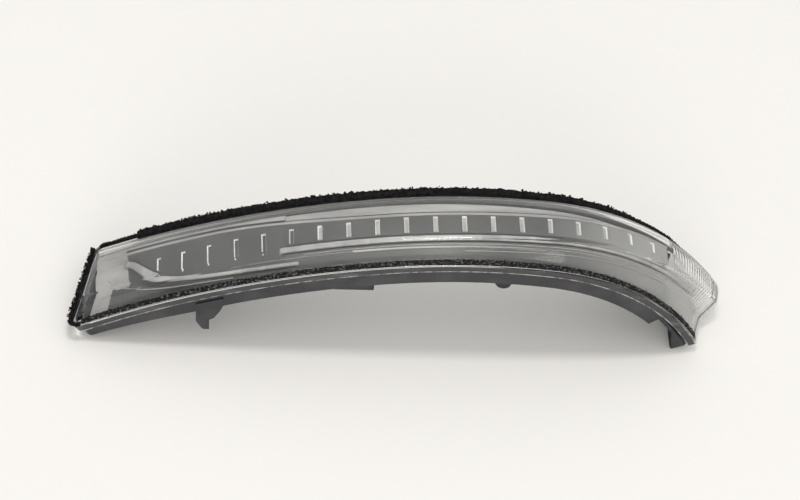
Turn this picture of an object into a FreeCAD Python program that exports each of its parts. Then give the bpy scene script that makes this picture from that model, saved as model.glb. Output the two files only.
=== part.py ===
"""Mirror turn signal lamp: clear lens over a notched bezel, on a dark tub.

Every piece follows one arched band. A place on the band is given by s (along the arch, from the
left end), w (across it, from the front edge) and n (outward from the lens ledge), in millimetres.
"""
import FreeCAD
import Part
import math
import os

Vector = FreeCAD.Vector

# Arch of the band: three tangent arcs, from the left end to the right end
arch_left_radius = 305.0
arch_left_angle = 23.5
arch_mid_radius = 205.0
arch_mid_angle = 16.3
arch_right_radius = 78.0
arch_right_angle = 54.0
band_width = 34.5
left_slant = 0.30          # shift along the arch per millimetre across, at the left end
slant_reach = 70.0         # length over which that shift fades out

# Clear lens
lens_wall = 1.8
skirt_height = 3.6
skirt_wall = 1.4
ledge_thickness = 1.6
ledge_front = 2.6
ledge_rear = 3.8
ledge_left = 3.4
corner_front = 4.5         # rounding of the lens's two left corners
corner_rear = 3.5
dome_lean = 0.9            # lean of the dome's left end wall
drift_length = 125.0       # the dome's ridge moves rearward over this much of the right end
foot_drift = 2.0           # the dome's rear foot moves forward by this much at the nose
crease = (5.0, 4.6)        # crease and crest: places from the front edge and heights
crest = (7.8, 6.1)
crown = (8.5, 6.7)         # crown and shoulder: places forward of the rear foot and heights
shoulder = (1.1, 3.4)
crease_at_nose = (10.0, 2.6)
crest_at_nose = (15.5, 10.2)
crown_at_nose = (7.2, 11.8)
shoulder_at_nose = (2.7, 10.0)
flute_pitch = 1.45
flute_depth = 0.32
flute_count = 18
flute_end_margin = 4.0
flute_side_margin = 0.5

# Housing tub
housing_wall = 1.8
housing_inset = 0.4
wall_depth = 10.0
wall_depth_left = 7.4      # the walls are lower at the left end
wall_taper = 55.0          # length over which they reach their full depth
floor_drop = 3.5           # how far the tub floor lies below the walls' lower edges
floor_taper = 34.0         # length over which the floor rises to the wall edge at each end
chine = 9.0                # width of the sloping strip between wall and floor
lip_height = 0.9
lip_wall = 0.9
tub_start = 2.6
tub_end_gap = 22.0         # the tub stops this far short of the right end
gusset_thickness = 3.0
hook_at = 57.4
hook_width = 9.8
hook_thickness = 2.0
hook_length = 12.5
peg_at = 16.0
peg_radius = 2.6
boss_radius = 3.2
boss_hole_radius = 1.25
boss_hole_depth = 7.5
boss_plane = 17.0          # height of the boss faces above the ground
boss_left_at = 66.0
boss_spacing = 100.0

# Bezel
bezel_thickness = 1.0
bezel_start = 8.0
bezel_joint = 86.0
bezel_end_gap = 26.5
flange_start = 1.7
tip_at = 22.0               # pointed left end of the notched field
tip_curve = 14.0
guide_edge_low = 5.0
tip_back = 4.1              # the point lies this far forward of the field's rear side
seat_level = -1.2
corner_sink = 2.2
field_level = 0.95
field_back = 9.0            # the field's rear side lies this far forward of the dome's rear foot
field_left_gain = 2.6
field_drift = 6.05
field_lift = 4.4
rim_rise = 0.95
notch_count = 19
notch_back = 4.0            # middle of the notches, forward of the field's rear side
notch_back_gain = 4.2       # and how much further forward at the left
notch_row_end = 140.0
notch_drift = 3.3
notch_first = 36.2
notch_pitch = 10.37
notch_width = 2.1
notch_length = 7.4
notch_shrink = 2.6          # the notches are shorter towards the nose
notch_depth = 0.7

# Light guides
guide_radius = 1.0
guide_across = 11.9
guide_leg_at = 81.5
short_guide_end = 89.5
guide_end_gap = 9.0

# Circuit board and what it carries
board_at = 92.0
board_length = 62.0
board_width = 19.0
board_thickness = 1.2
board_level = -8.2
board_across = 15.5
screw_spacing = 52.0
screw_radius = 1.1
screw_head_radius = 2.0
led_size = 2.8
led_height = 1.2
pin_count = 3
pin_pitch = 2.8
pin_side = 0.7
pin_recess = 4.8           # depth of the pin tips inside the plug opening
socket_at = 112.0
socket_length = 11.4
socket_width = 6.2
socket_depth = 9.5
shroud_wall = 1.5

# Foam strips and vent
foam_height = 2.2
front_foam_height = 0.5
foam_margin = 0.3
rear_foam_start = 17.0
rear_foam_end_gap = 14.5
front_foam_end_gap = 3.0
vent_radius = 4.2
vent_hole_radius = 1.4
vent_thickness = 0.3
vent_at = 158.0

inner_span = 5.0           # straight spans of the bezel and guides along the arch
nose_span = 1.8            # and of the reflector
fit_gap = 0.06             # between two pieces that are seated on each other
slip_gap = 0.12            # between a guide or pin and the hole it passes through
over = 1.0                 # how far a cutting tool runs past the face that it opens

arcs = [(arch_left_radius, math.radians(arch_left_angle)),
        (arch_mid_radius, math.radians(arch_mid_angle)),
        (arch_right_radius, math.radians(arch_right_angle))]
band_length = sum(radius * angle for radius, angle in arcs)
rim = -skirt_height - fit_gap                  # level of the tub's rim below the lens ledge
lip_top = -skirt_height + lip_height
flange_top = lip_top + bezel_thickness      # the bezel's edges lie on the tub's lip
tub_end = band_length - tub_end_gap


def flat_arch(s):
    """Place and slope of the arch with its top level."""
    x, z, slope = 0.0, 0.0, arcs[0][1]
    for index, (radius, angle) in enumerate(arcs):
        run = min(s, radius * angle) if index < len(arcs) - 1 else s
        turn = run / radius
        x += radius * (math.sin(slope) - math.sin(slope - turn))
        z += radius * (math.cos(slope - turn) - math.cos(slope))
        slope -= turn
        s -= run
    return x, z, slope


def ease(s, start, end):
    u = min(1.0, max(0.0, (s - start) / (end - start)))
    return u * u * (3.0 - 2.0 * u)


def wall_bottom(s):
    """Level of the tub walls' lower edges."""
    return -wall_depth_left - (wall_depth - wall_depth_left) * ease(s, 0.0, wall_taper)


def flat_foot(s):
    x, z, slope = flat_arch(s)
    return x - wall_bottom(s) * math.sin(slope), z + wall_bottom(s) * math.cos(slope)


# The lamp stands on the lower corners of its two ends, so the arch is tipped until both are level
left_foot = flat_foot(tub_start)
right_foot = flat_foot(band_length - housing_inset)
tip = -math.atan2(right_foot[1] - left_foot[1], right_foot[0] - left_foot[0])


def arch(s):
    """Place and slope of the arch as it stands, with the ground at height zero."""
    x, z, slope = flat_arch(s)
    x, z = x - left_foot[0], z - left_foot[1]
    return (x * math.cos(tip) - z * math.sin(tip),
            x * math.sin(tip) + z * math.cos(tip), slope + tip)


def band(s, w, n, lean=0.0):
    x, z, slope = arch(s)
    fade = max(0.0, 1.0 - s / slant_reach)
    along = w * left_slant * fade ** 2 + n * lean * fade ** 4
    return Vector(x + along * math.cos(slope) - n * math.sin(slope), w,
                  z + along * math.sin(slope) + n * math.cos(slope))


def mix(first, second, share):
    return tuple(a + (b - a) * share for a, b in zip(first, second))


def stations(start, end, pitch=17.0):
    count = max(2, int(round((end - start) / pitch)) + 1)
    return [start + (end - start) * i / (count - 1) for i in range(count)]


def section(s, outline, lean=0.0):
    """Closed wire across the band."""
    points = [band(s, w, n, lean) for w, n in outline]
    return Part.makePolygon(points + points[:1])


def run(outline_at, start, end, lean=0.0):
    """Solid that carries an outline along the band."""
    wires = [section(s, outline_at(s), lean) for s in stations(start, end)]
    return Part.makeLoft(wires, True, False)


def spans(outline_at, start, end, span=inner_span):
    """The same in straight spans, which are half as long around the point of the notched field."""
    steps = range(1, int(2 * band_length / span))
    grid = [i * span / 2 for i in steps if i % 2 == 0 or i * span / 2 < tip_at + tip_curve]
    margin = 0.25 * span
    places = [start] + [s for s in grid if start + margin < s < end - margin] + [end]
    return Part.makeLoft([section(s, outline_at(s)) for s in places], True, True)


def round_left(solid, s, w_front, w_rear, radius_front, radius_rear):
    """Rounds the two upright edges at the left end of a run."""
    for w, radius in ((w_front, radius_front), (w_rear, radius_rear)):
        line = band(s, w, 0.0), band(s, w, 1.0) - band(s, w, 0.0)
        edges = [edge for edge in solid.Edges
                 if all(vertex.Point.distanceToLine(*line) < 0.01 for vertex in edge.Vertexes)]
        solid = solid.makeFillet(radius, edges)
    return solid


def slab(w_from, w_to, n_from, n_to):
    return lambda s: [(w_from, n_from), (w_from, n_to), (w_to, n_to), (w_to, n_from)]


def tangent_frame(s, w, n):
    """Placement with x along the arch, y across and z outward."""
    slope = arch(s)[2]
    return FreeCAD.Placement(band(s, w, n), FreeCAD.Rotation(Vector(0, 1, 0), -math.degrees(slope)))


def block(frame, size, centre):
    """Box on a placement, given its size and the middle of its underside."""
    length, width, height = size
    box = Part.makeBox(length, width, height,
                       Vector(centre[0] - length / 2, centre[1] - width / 2, centre[2]))
    box.Placement = frame
    return box


def prism(frame, radius, height, start):
    """Twelve-sided post or hole whose flats lie at the radius."""
    corner = radius / math.cos(math.pi / 12)
    points = [Vector(*start) + Vector(corner * math.cos(math.pi * (2 * i + 1) / 12),
                                      corner * math.sin(math.pi * (2 * i + 1) / 12), 0.0)
              for i in range(12)]
    solid = Part.Face(Part.makePolygon(points + points[:1])).extrude(Vector(0.0, 0.0, height))
    solid.Placement = frame
    return solid


def drift(s):
    """How far the dome has moved from its middle shape (0) to its nose shape (1)."""
    return max(0.0, 1.0 - (band_length - s) / drift_length) ** 2


def dome_points(s):
    share = drift(s)
    points = [mix(crease, crease_at_nose, share), mix(crest, crest_at_nose, share)]
    for middle, nose in ((crown, crown_at_nose), (shoulder, shoulder_at_nose)):
        back, height = mix(middle, nose, share)
        points.append((dome_foot(s) - back, height))
    return points


def dome_foot(s):
    """Place across the band where the dome meets the rear ledge."""
    return band_width - ledge_rear - foot_drift * drift(s)


def dome_outline(s):
    return [(ledge_front, -over / 2)] + dome_points(s) + [(dome_foot(s), -over / 2)]


def dome_hollow(s):
    (w1, n1), (w2, n2), (w3, n3), (w4, n4) = dome_points(s)
    t = lens_wall
    return [(ledge_front + 0.85 * t, -ledge_thickness - over), (w1 + 0.72 * t, n1 - 0.75 * t),
            (w2 + 0.35 * t, n2 - t), (w3, n3 - t), (w4 - 0.65 * t, n4 - 0.8 * t),
            (dome_foot(s) - 0.8 * t, -ledge_thickness - over)]


def dome_height(s, w):
    """Height of the dome's faces between crease and shoulder."""
    points = dome_points(s)
    for (w1, n1), (w2, n2) in zip(points, points[1:]):
        if w <= w2:
            break
    return n1 + (n2 - n1) * (w - w1) / (w2 - w1)


def flute(s, places):
    """V-shaped groove across the dome, through places across the band."""
    half = 0.48 * flute_pitch
    wires = []
    for w in places:
        n = dome_height(s, w)
        corners = [band(s - half, w, n + flute_depth), band(s, w, n - flute_depth),
                   band(s + half, w, n + flute_depth)]
        wires.append(Part.makePolygon(corners + corners[:1]))
    return Part.makeLoft(wires, True, True)


def flutes():
    grooves = []
    for i in range(flute_count):
        s = band_length - flute_end_margin - i * flute_pitch
        crease_w, crest_w, crown_w, shoulder_w = [point[0] for point in dome_points(s)]
        grooves.append(flute(s, (crease_w + flute_side_margin, crest_w - flute_side_margin)))
        grooves.append(flute(s, (crest_w + flute_side_margin, crown_w, shoulder_w - flute_side_margin)))
    return grooves


def outer_lens():
    flange = run(slab(0.0, band_width, -skirt_height, 0.0), 0.0, band_length)
    flange = round_left(flange, 0.0, 0.0, band_width, corner_front, corner_rear)
    dome = run(dome_outline, ledge_left, band_length, dome_lean)
    inside = run(slab(skirt_wall, band_width - skirt_wall, -skirt_height - over, -ledge_thickness),
                 skirt_wall, band_length - skirt_wall)
    inside = round_left(inside, skirt_wall, skirt_wall, band_width - skirt_wall,
                        corner_front - skirt_wall, corner_rear - skirt_wall)
    hollow = run(dome_hollow, ledge_left + lens_wall, band_length - lens_wall, dome_lean)
    lens = flange.fuse(dome).cut(inside.fuse(hollow))
    return lens.cut(Part.makeCompound(flutes()))


def floor_level(s):
    ends = ease(s, 0.0, floor_taper) * (1.0 - ease(s, tub_end - floor_taper, tub_end))
    return wall_bottom(s) - 0.4 - floor_drop * ends


def tub_outline(s):
    edge = housing_inset
    far = band_width - housing_inset
    low = wall_bottom(s)
    return [(edge, rim), (edge, low), (chine, floor_level(s)),
            (band_width - chine, floor_level(s)), (far, low), (far, rim)]


def tub_hollow(s):
    near = housing_inset + housing_wall
    far = band_width - near
    bottom = floor_level(s) + housing_wall
    corner = wall_bottom(s) + 0.6 * housing_wall
    return [(near, over), (near, corner), (chine, bottom),
            (band_width - chine, bottom), (far, corner), (far, over)]


def hook():
    """Snap tongue that hangs from the front wall: a broad shoulder at the right, then a narrow tip."""
    half = hook_width / 2
    root = band(hook_at, housing_inset - 0.5, 0.0)
    rise = half * math.tan(arch(hook_at)[2])
    top = rim - 2.2
    edge = wall_bottom(hook_at)
    low = edge - hook_length
    shape = [(-half, top - rise), (-half, edge - 0.62 * hook_length), (-0.55 * half, low + 0.6),
             (-0.45 * half, low), (0.0, low), (0.0, edge - 0.55 * hook_length),
             (0.35 * half, edge - 0.45 * hook_length), (0.8 * half, edge - 0.1 * hook_length),
             (half, edge + 0.15 * hook_length), (half, top + rise)]
    corners = [root + Vector(t, 0.0, z) for t, z in shape]
    face = Part.Face(Part.makePolygon(corners + corners[:1]))
    return face.extrude(Vector(0.0, hook_thickness, 0.0))


def end_foot():
    """Closing plate under the nose, and the end wall with its two gussets."""
    end = band_length - housing_inset
    inset = housing_inset + 0.3
    plate = run(slab(inset, band_width - inset, rim - housing_wall, rim - 0.15),
                tub_end - 1.5 * housing_wall, end - 0.3)
    pieces = [plate]
    low = band(end, 0.0, -wall_depth)
    high = band(end, 0.0, rim - housing_wall / 2)
    inner = band(end - 0.55 * tub_end_gap, 0.0, rim - housing_wall / 2)
    thin = band(end - housing_wall, 0.0, rim - housing_wall / 2)
    corner = band(end - housing_wall, 0.0, -wall_depth)
    for w, depth, outline in ((housing_inset, gusset_thickness, (low, high, inner)),
                              (band_width - housing_inset - gusset_thickness, gusset_thickness,
                               (low, high, inner)),
                              (housing_inset, band_width - 2 * housing_inset,
                               (low, high, thin, corner))):
        corners = [Vector(p.x, w, p.z) for p in outline]
        face = Part.Face(Part.makePolygon(corners + corners[:1]))
        pieces.append(face.extrude(Vector(0.0, depth, 0.0)))
    return pieces


def boss_places():
    x = band(boss_left_at, band_width / 2, 0.0).x
    return [(x, band_width / 2), (x + boss_spacing, band_width / 2)]


def roof_height(x):
    """Height of the ledge above a place on the ground."""
    low, high = 0.0, band_length
    for _ in range(40):
        middle = (low + high) / 2
        if arch(middle)[0] < x:
            low = middle
        else:
            high = middle
    return arch(low)[1]


def socket_centre():
    return band(socket_at, board_across, 0.0).x, board_across


def socket_mouth():
    """Height of the plug opening's rim."""
    return band(socket_at, board_across, floor_level(socket_at)).z - socket_depth - 2.5


def housing():
    tub = run(tub_outline, tub_start, tub_end)
    tub = round_left(tub, tub_start, housing_inset, band_width - housing_inset,
                     corner_front - skirt_wall, corner_rear - skirt_wall)
    reach = skirt_wall + fit_gap
    lip = run(slab(reach, band_width - reach, rim - over, lip_top), tub_start + lip_wall,
              band_length - reach)
    lip = round_left(lip, tub_start + lip_wall, reach, band_width - reach,
                     corner_front - reach, corner_rear - reach)
    solids = [lip, hook()] + end_foot()
    peg_x = band(peg_at, 0.0, 0.0).x
    solids.append(Part.makeCylinder(peg_radius, roof_height(peg_x) - 6.0,
                                    Vector(peg_x, band_width - chine, 0.0)))
    for x, y in boss_places():
        solids.append(Part.makeCylinder(boss_radius, roof_height(x) - boss_plane - 4.0,
                                        Vector(x, y, boss_plane)))
    x, y = socket_centre()
    long, wide = socket_length + 2 * shroud_wall, socket_width + 2 * shroud_wall
    solids.append(Part.makeBox(long, wide, roof_height(x) - socket_mouth() - 4.0,
                               Vector(x - long / 2, y - wide / 2, socket_mouth())))
    body = tub
    for solid in solids:
        body = body.fuse(solid)
    hollow = run(tub_hollow, tub_start + housing_wall, tub_end - housing_wall)
    well = run(slab(reach + lip_wall, band_width - reach - lip_wall, rim + 0.2, over),
               tub_start + 2 * lip_wall, band_length - reach - lip_wall)
    tools = [hollow, well]
    for x, y in boss_places():
        tools.append(Part.makeCylinder(boss_hole_radius, boss_hole_depth + over,
                                       Vector(x, y, boss_plane - over)))
    x, y = socket_centre()
    tools.append(Part.makeBox(socket_length, socket_width, socket_depth + over,
                              Vector(x - socket_length / 2, y - socket_width / 2,
                                     socket_mouth() - over)))
    for tool in tools:
        body = body.cut(tool)
    frame = tangent_frame(board_at, board_across, board_level)
    posts = []
    holes = []
    for side in (-1, 1):
        t = side * screw_spacing / 2
        post = prism(frame, screw_head_radius, floor_drop + 4.0, (t, 0.0, -floor_drop - 4.0 - fit_gap))
        posts.append(post.common(tub))
        holes.append(prism(frame, 0.85 * screw_radius, 4.0, (t, 0.0, -4.0)))
    for pin in pin_lines():
        holes.append(pin_blank(pin, slip_gap))
    holes.append(prism(tangent_frame(vent_at, band_width / 2, floor_level(vent_at)),
                       vent_hole_radius, 3 * housing_wall, (0.0, 0.0, -over)))
    for post in posts:
        body = body.fuse(post)
    for hole in holes:
        body = body.cut(hole)
    return body


def field_side():
    """Place across the band of the notched field's rear side in the middle of the lamp."""
    return band_width - ledge_rear - field_back


def guide_edge(s):
    """Place across the band of the short light guide's front side."""
    u = max(0.0, s - tip_at) / tip_curve
    rise = field_side() + field_left_gain - tip_back - guide_edge_low
    return guide_edge_low + rise * (1.0 + u * u) ** -1.2


def field_edge(s):
    """Place across the band of the notched field's rear side."""
    gain = field_left_gain * (1.0 - ease(s, 60.0, 120.0))
    return field_side() + gain + field_drift * drift(s)


def left_bezel_outline(s):
    """From the front flange: sunk corner floor, slope, guide seat, notched field, rim and land."""
    edge = guide_edge(s)
    rear = max(field_edge(s), edge + 3.6)
    toe = max(4.4, edge - 0.28 * (edge - guide_edge_low) - 1.1)
    sunk = flange_top - corner_sink * ease(edge, 5.5, 9.0)
    foot = dome_foot(s)
    return [(flange_start, flange_top), (3.4, flange_top), (3.9, sunk), (toe, sunk),
            (edge, seat_level), (edge + 2.2, seat_level), (edge + 2.6, seat_level + 0.4),
            (rear, field_level), (rear + 0.7, field_level + rim_rise), (foot - 3.3, 1.2),
            (foot - 2.5, flange_top), (band_width - flange_start, flange_top)]


def right_bezel_outline(s):
    """From the front flange: slope, guide groove, notched field, rim and rear steps."""
    share = drift(s)
    groove, bottom = guide_line(s)
    bottom -= guide_radius + 0.15
    rear = field_edge(s)
    lift = field_lift * share
    foot = dome_foot(s)
    return [(flange_start, flange_top), (3.6, flange_top), (groove - 1.7, bottom + 1.2),
            (groove - 1.2, bottom), (groove + 1.2, bottom), (groove + 1.8, field_level - 0.1 + lift),
            (rear, field_level + lift), (rear + 0.5, field_level + rim_rise + lift),
            (min(rear + 2.2, foot - 3.6), field_level - 0.1 + 0.6 * lift),
            (foot - 3.3, field_level - 0.3 + 0.5 * lift), (foot - 2.5, flange_top),
            (band_width - flange_start, flange_top)]


def sheet(outline_at):
    """Outline of a sheet of bezel thickness below a line of points."""
    def outline(s):
        top = outline_at(s)
        return top + [(w, n - bezel_thickness + fit_gap) for w, n in reversed(top)]
    return outline


def notch_row(s):
    back = notch_back + notch_back_gain * (1.0 - ease(s, notch_first, notch_row_end))
    return field_edge(s) - back + notch_drift * drift(s)


def field_height(s, w):
    """Level of the notched field's top at a place."""
    if s > bezel_joint:
        return field_level + field_lift * drift(s)
    front = guide_edge(s) + 2.6
    low = seat_level + 0.4
    return low + (field_level - low) * (w - front) / (field_edge(s) - front)


def notches():
    tools = []
    for i in range(notch_count):
        s = notch_first + i * notch_pitch
        row = notch_row(s)
        level = field_height(s, row)
        tilt = math.degrees(math.atan(field_height(s, row + 1.0) - level))
        frame = tangent_frame(s, row, level).multiply(
            FreeCAD.Placement(Vector(0, 0, 0), FreeCAD.Rotation(Vector(1, 0, 0), tilt)))
        length = notch_length - notch_shrink * drift(s)
        tools.append(block(frame, (notch_width, length, notch_depth + 2.0), (0.0, 0.0, -notch_depth)))
    return tools


def bezel():
    end = band_length - bezel_end_gap
    left = spans(sheet(left_bezel_outline), bezel_start, bezel_joint)
    right = spans(sheet(right_bezel_outline), bezel_joint, end)
    holes = notches()
    for s, line_at in ((guide_leg_at, guide_line), (short_guide_end, short_line)):
        w = line_at(s)[0]
        holes.append(prism(tangent_frame(s, w, -5.0), guide_radius + slip_gap, 12.0, (0.0, 0.0, 0.0)))
    return left.fuse(right).cut(holes)


def guide_line(s):
    """Middle of the long light guide."""
    return guide_across + 5.2 * drift(s), 0.6 + 3.1 * drift(s)


def short_line(s):
    return guide_edge(s) + 1.2, seat_level + fit_gap + 0.9 * guide_radius


def round_outline(line_at, radius, sides=8):
    def outline(s):
        w, n = line_at(s)
        return [(w + radius * math.cos(2 * math.pi * (i + 0.5) / sides),
                 n + radius * math.sin(2 * math.pi * (i + 0.5) / sides)) for i in range(sides)]
    return outline


def light_guide(line_at, start, end, leg_at, radius):
    bar = spans(round_outline(line_at, radius), start, end)
    w, n = line_at(leg_at)
    height = n - board_level - board_thickness - led_height - 1.6
    leg = prism(tangent_frame(leg_at, w, n), 0.95 * radius, height, (0.0, 0.0, -height))
    return bar.fuse(leg)


def nose_outline(s):
    (w1, n1), _, (w3, n3), (w4, n4) = dome_points(s)
    groove, bottom = guide_line(s)
    bottom -= guide_radius + 0.15
    return [(flange_start, flange_top), (4.2, flange_top), (w1 + 2.6, n1 - 3.2),
            (groove - 1.4, bottom), (groove + 1.4, bottom), (w3, n3 - 3.6), (w4 - 2.6, n4 - 3.6),
            (dome_foot(s) - 3.0, flange_top), (band_width - flange_start, flange_top)]


def end_reflector():
    return spans(sheet(nose_outline), band_length - bezel_end_gap + fit_gap,
                 band_length - lens_wall - 1.0, nose_span)


def board_frame():
    return tangent_frame(board_at, board_across, board_level)


def on_board(s, w):
    """Place on the board's own axes below a place on the band."""
    place = board_frame().inverse().multVec(band(s, w, 0.0))
    return place.x, place.y


def circuit_board():
    frame = board_frame()
    board = block(frame, (board_length, board_width, board_thickness), (0.0, 0.0, 0.0))
    holes = [prism(frame, screw_radius + slip_gap, 4.0, (side * screw_spacing / 2, 0.0, -over))
             for side in (-1, 1)]
    holes += [pin_blank(pin, slip_gap) for pin in pin_lines()]
    return board.cut(holes)


def board_screw(side):
    frame = board_frame()
    t = side * screw_spacing / 2
    shank = prism(frame, 0.8 * screw_radius, 4.2 + board_thickness, (t, 0.0, -3.6))
    head = prism(frame, screw_head_radius, 1.3, (t, 0.0, board_thickness + fit_gap))
    slot = block(frame, (0.5, 3 * screw_head_radius, 1.0), (t, 0.0, board_thickness + 0.8))
    cross = block(frame, (3 * screw_head_radius, 0.5, 1.0), (t, 0.0, board_thickness + 0.8))
    return shank.fuse(head).cut([slot.fuse(cross)])


def led(place):
    frame = board_frame()
    t, y = place
    base = board_thickness + fit_gap
    body = block(frame, (led_size, led_size, led_height - 0.3), (t, y, base))
    dome = prism(frame, 0.4 * led_size, 0.3, (t, y, base + led_height - 0.3))
    return body.fuse(dome)


def chips(places, size):
    """Small parts with a metal cap at each end, as one group."""
    frame = board_frame()
    length, width, height = size
    group = []
    for t, y in places:
        base = board_thickness + fit_gap
        group.append(block(frame, (0.6 * length, width, height), (t, y, base)))
        for side in (-1, 1):
            group.append(block(frame, (0.2 * length, width, 1.06 * height),
                               (t + side * 0.4 * length, y, base)))
    return Part.makeCompound(group)


def driver_chip():
    frame = board_frame()
    base = board_thickness + fit_gap
    body = block(frame, (5.0, 4.0, 1.4), (8.0, -4.0, base + 0.15))
    legs = []
    for i in range(4):
        for side in (-1, 1):
            legs.append(block(frame, (0.45, 1.0, 0.5), (8.0 + 1.27 * (i - 1.5), -4.0 + side * 2.3, base)))
    return body.fuse(legs)


def diode():
    frame = board_frame()
    base = board_thickness + fit_gap
    body = block(frame, (4.2, 2.6, 2.0), (-2.0, -6.0, base + 0.1))
    tabs = [block(frame, (0.8, 1.4, 1.0), (-2.0 + side * 2.3, -6.0, base)) for side in (-1, 1)]
    return body.fuse(tabs)


def pin_lines():
    x, y = socket_centre()
    return [(x + pin_pitch * (i - (pin_count - 1) / 2), y) for i in range(pin_count)]


def pin_blank(pin, gap=0.0):
    """Square pin from the plug opening up through the board."""
    side = pin_side + 2 * gap
    x, y = pin
    low = socket_mouth() + pin_recess
    level = band(board_at, board_across, board_level)
    slope = arch(board_at)[2]
    top = level.z + (x - level.x) * math.tan(slope) + board_thickness + 1.6
    return Part.makeBox(side, side, top - low, Vector(x - side / 2, y - side / 2, low))


def contact_pins():
    return Part.makeCompound([pin_blank(pin) for pin in pin_lines()])


def vent_patch():
    return prism(tangent_frame(vent_at, band_width / 2, floor_level(vent_at)), vent_radius,
                 vent_thickness, (0.0, 0.0, -vent_thickness - fit_gap))


def foam_strip_rear():
    foot = band_width - ledge_rear
    return run(slab(foot + foam_margin, band_width - 0.1, fit_gap, foam_height),
               rear_foam_start, band_length - rear_foam_end_gap)


def foam_strip_end():
    edge = 0.1
    blank = run(slab(edge, band_width - edge, fit_gap, foam_height), edge, ledge_left + 2 * corner_front)
    blank = round_left(blank, edge, edge, band_width - edge, corner_front - edge, corner_rear - edge)
    return blank.common(run(slab(-over, band_width + over, -over, foam_height + over), -over,
                            ledge_left - foam_margin))


def foam_strip_front():
    return run(slab(foam_margin, ledge_front - foam_margin, fit_gap, front_foam_height),
               1.5 * corner_front, band_length - front_foam_end_gap)


def build():
    long_leg = on_board(guide_leg_at, guide_line(guide_leg_at)[0])
    short_leg = on_board(short_guide_end, short_line(short_guide_end)[0])
    nodes = {
        "housing": housing(),
        "outer_lens": outer_lens(),
        "bezel": bezel(),
        "end_reflector": end_reflector(),
        "light_guide_long": light_guide(guide_line, guide_leg_at - guide_radius,
                                        band_length - guide_end_gap, guide_leg_at, guide_radius),
        "light_guide_short": light_guide(short_line, tip_at, short_guide_end + guide_radius,
                                         short_guide_end, 0.9 * guide_radius),
        "circuit_board": circuit_board(),
        "led_long": led(long_leg),
        "led_short": led(short_leg),
        "driver_chip": driver_chip(),
        "diode": diode(),
        "resistors": chips([(-14.0 + 3.4 * i, -1.0) for i in range(3)], (2.0, 1.25, 0.6)),
        "capacitors": chips([(3.0, 2.0), (14.5, -5.0)], (3.2, 1.6, 1.5)),
        "contact_pins": contact_pins(),
        "board_screw_left": board_screw(-1),
        "board_screw_right": board_screw(1),
        "vent_patch": vent_patch(),
        "foam_strip_rear": foam_strip_rear(),
        "foam_strip_end": foam_strip_end(),
        "foam_strip_front": foam_strip_front(),
    }
    box = Part.makeCompound(list(nodes.values())).optimalBoundingBox(False)
    shift = Vector(-(box.XMin + box.XMax) / 2, -(box.YMin + box.YMax) / 2, -box.ZMin)
    os.makedirs("parts", exist_ok=True)
    for name, shape in nodes.items():
        shape.translate(shift)
        shape.exportStep("parts/" + name + ".step")


build()
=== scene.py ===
import math
import random

import bmesh
import bpy
from mathutils import Matrix, Vector, noise


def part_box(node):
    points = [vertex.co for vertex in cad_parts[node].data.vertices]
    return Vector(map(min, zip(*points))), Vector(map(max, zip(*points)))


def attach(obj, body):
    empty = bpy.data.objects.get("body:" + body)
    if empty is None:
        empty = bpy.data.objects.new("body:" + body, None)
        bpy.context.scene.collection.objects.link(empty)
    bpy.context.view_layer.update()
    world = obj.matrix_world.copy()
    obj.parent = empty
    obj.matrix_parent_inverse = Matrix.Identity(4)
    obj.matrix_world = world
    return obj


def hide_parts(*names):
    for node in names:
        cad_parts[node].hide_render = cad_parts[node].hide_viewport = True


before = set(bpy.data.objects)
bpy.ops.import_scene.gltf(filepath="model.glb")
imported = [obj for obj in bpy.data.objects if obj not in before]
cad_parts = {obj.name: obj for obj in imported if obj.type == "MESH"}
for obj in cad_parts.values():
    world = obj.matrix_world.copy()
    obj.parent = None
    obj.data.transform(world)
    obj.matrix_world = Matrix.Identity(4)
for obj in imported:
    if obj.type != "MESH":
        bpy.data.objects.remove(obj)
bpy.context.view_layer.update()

mm = 0.001

# The arch that every piece follows. The real lamp is bent to the outside of a mirror cap: nearly
# straight at the left, tight at the right, and it stands on the lower corners of its two ends.
# A place on it is s along the arch, w across it and n outward from the lens ledge, in millimetres.
arch_arcs = ((305.0, math.radians(23.5)), (205.0, math.radians(16.3)), (78.0, math.radians(54.0)))
arch_length = sum(radius * angle for radius, angle in arch_arcs)
band_width = 34.5
wall_depth = 10.0
wall_depth_left = 7.4
wall_taper = 55.0
tub_start = 2.6
tub_inset = 0.4
left_slant = 0.30
slant_reach = 70.0


def level_arch(s):
    """Place and slope of the arch before it is tipped onto its two ends."""
    x, z, slope = 0.0, 0.0, arch_arcs[0][1]
    for index, (radius, angle) in enumerate(arch_arcs):
        run = min(s, radius * angle) if index < len(arch_arcs) - 1 else s
        turn = run / radius
        x += radius * (math.sin(slope) - math.sin(slope - turn))
        z += radius * (math.cos(slope - turn) - math.cos(slope))
        slope -= turn
        s -= run
    return x, z, slope


def ease(s, start, end):
    """Smooth rise from 0 to 1 between two places."""
    u = min(1.0, max(0.0, (s - start) / (end - start)))
    return u * u * (3.0 - 2.0 * u)


def level_foot(s):
    """Lower edge of the tub's wall, which is lower at the left."""
    x, z, slope = level_arch(s)
    depth = wall_depth_left + (wall_depth - wall_depth_left) * ease(s, 0.0, wall_taper)
    return x + depth * math.sin(slope), z - depth * math.cos(slope)


left_foot = level_foot(tub_start)
right_foot = level_foot(arch_length - tub_inset)
tip = -math.atan2(right_foot[1] - left_foot[1], right_foot[0] - left_foot[0])


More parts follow.
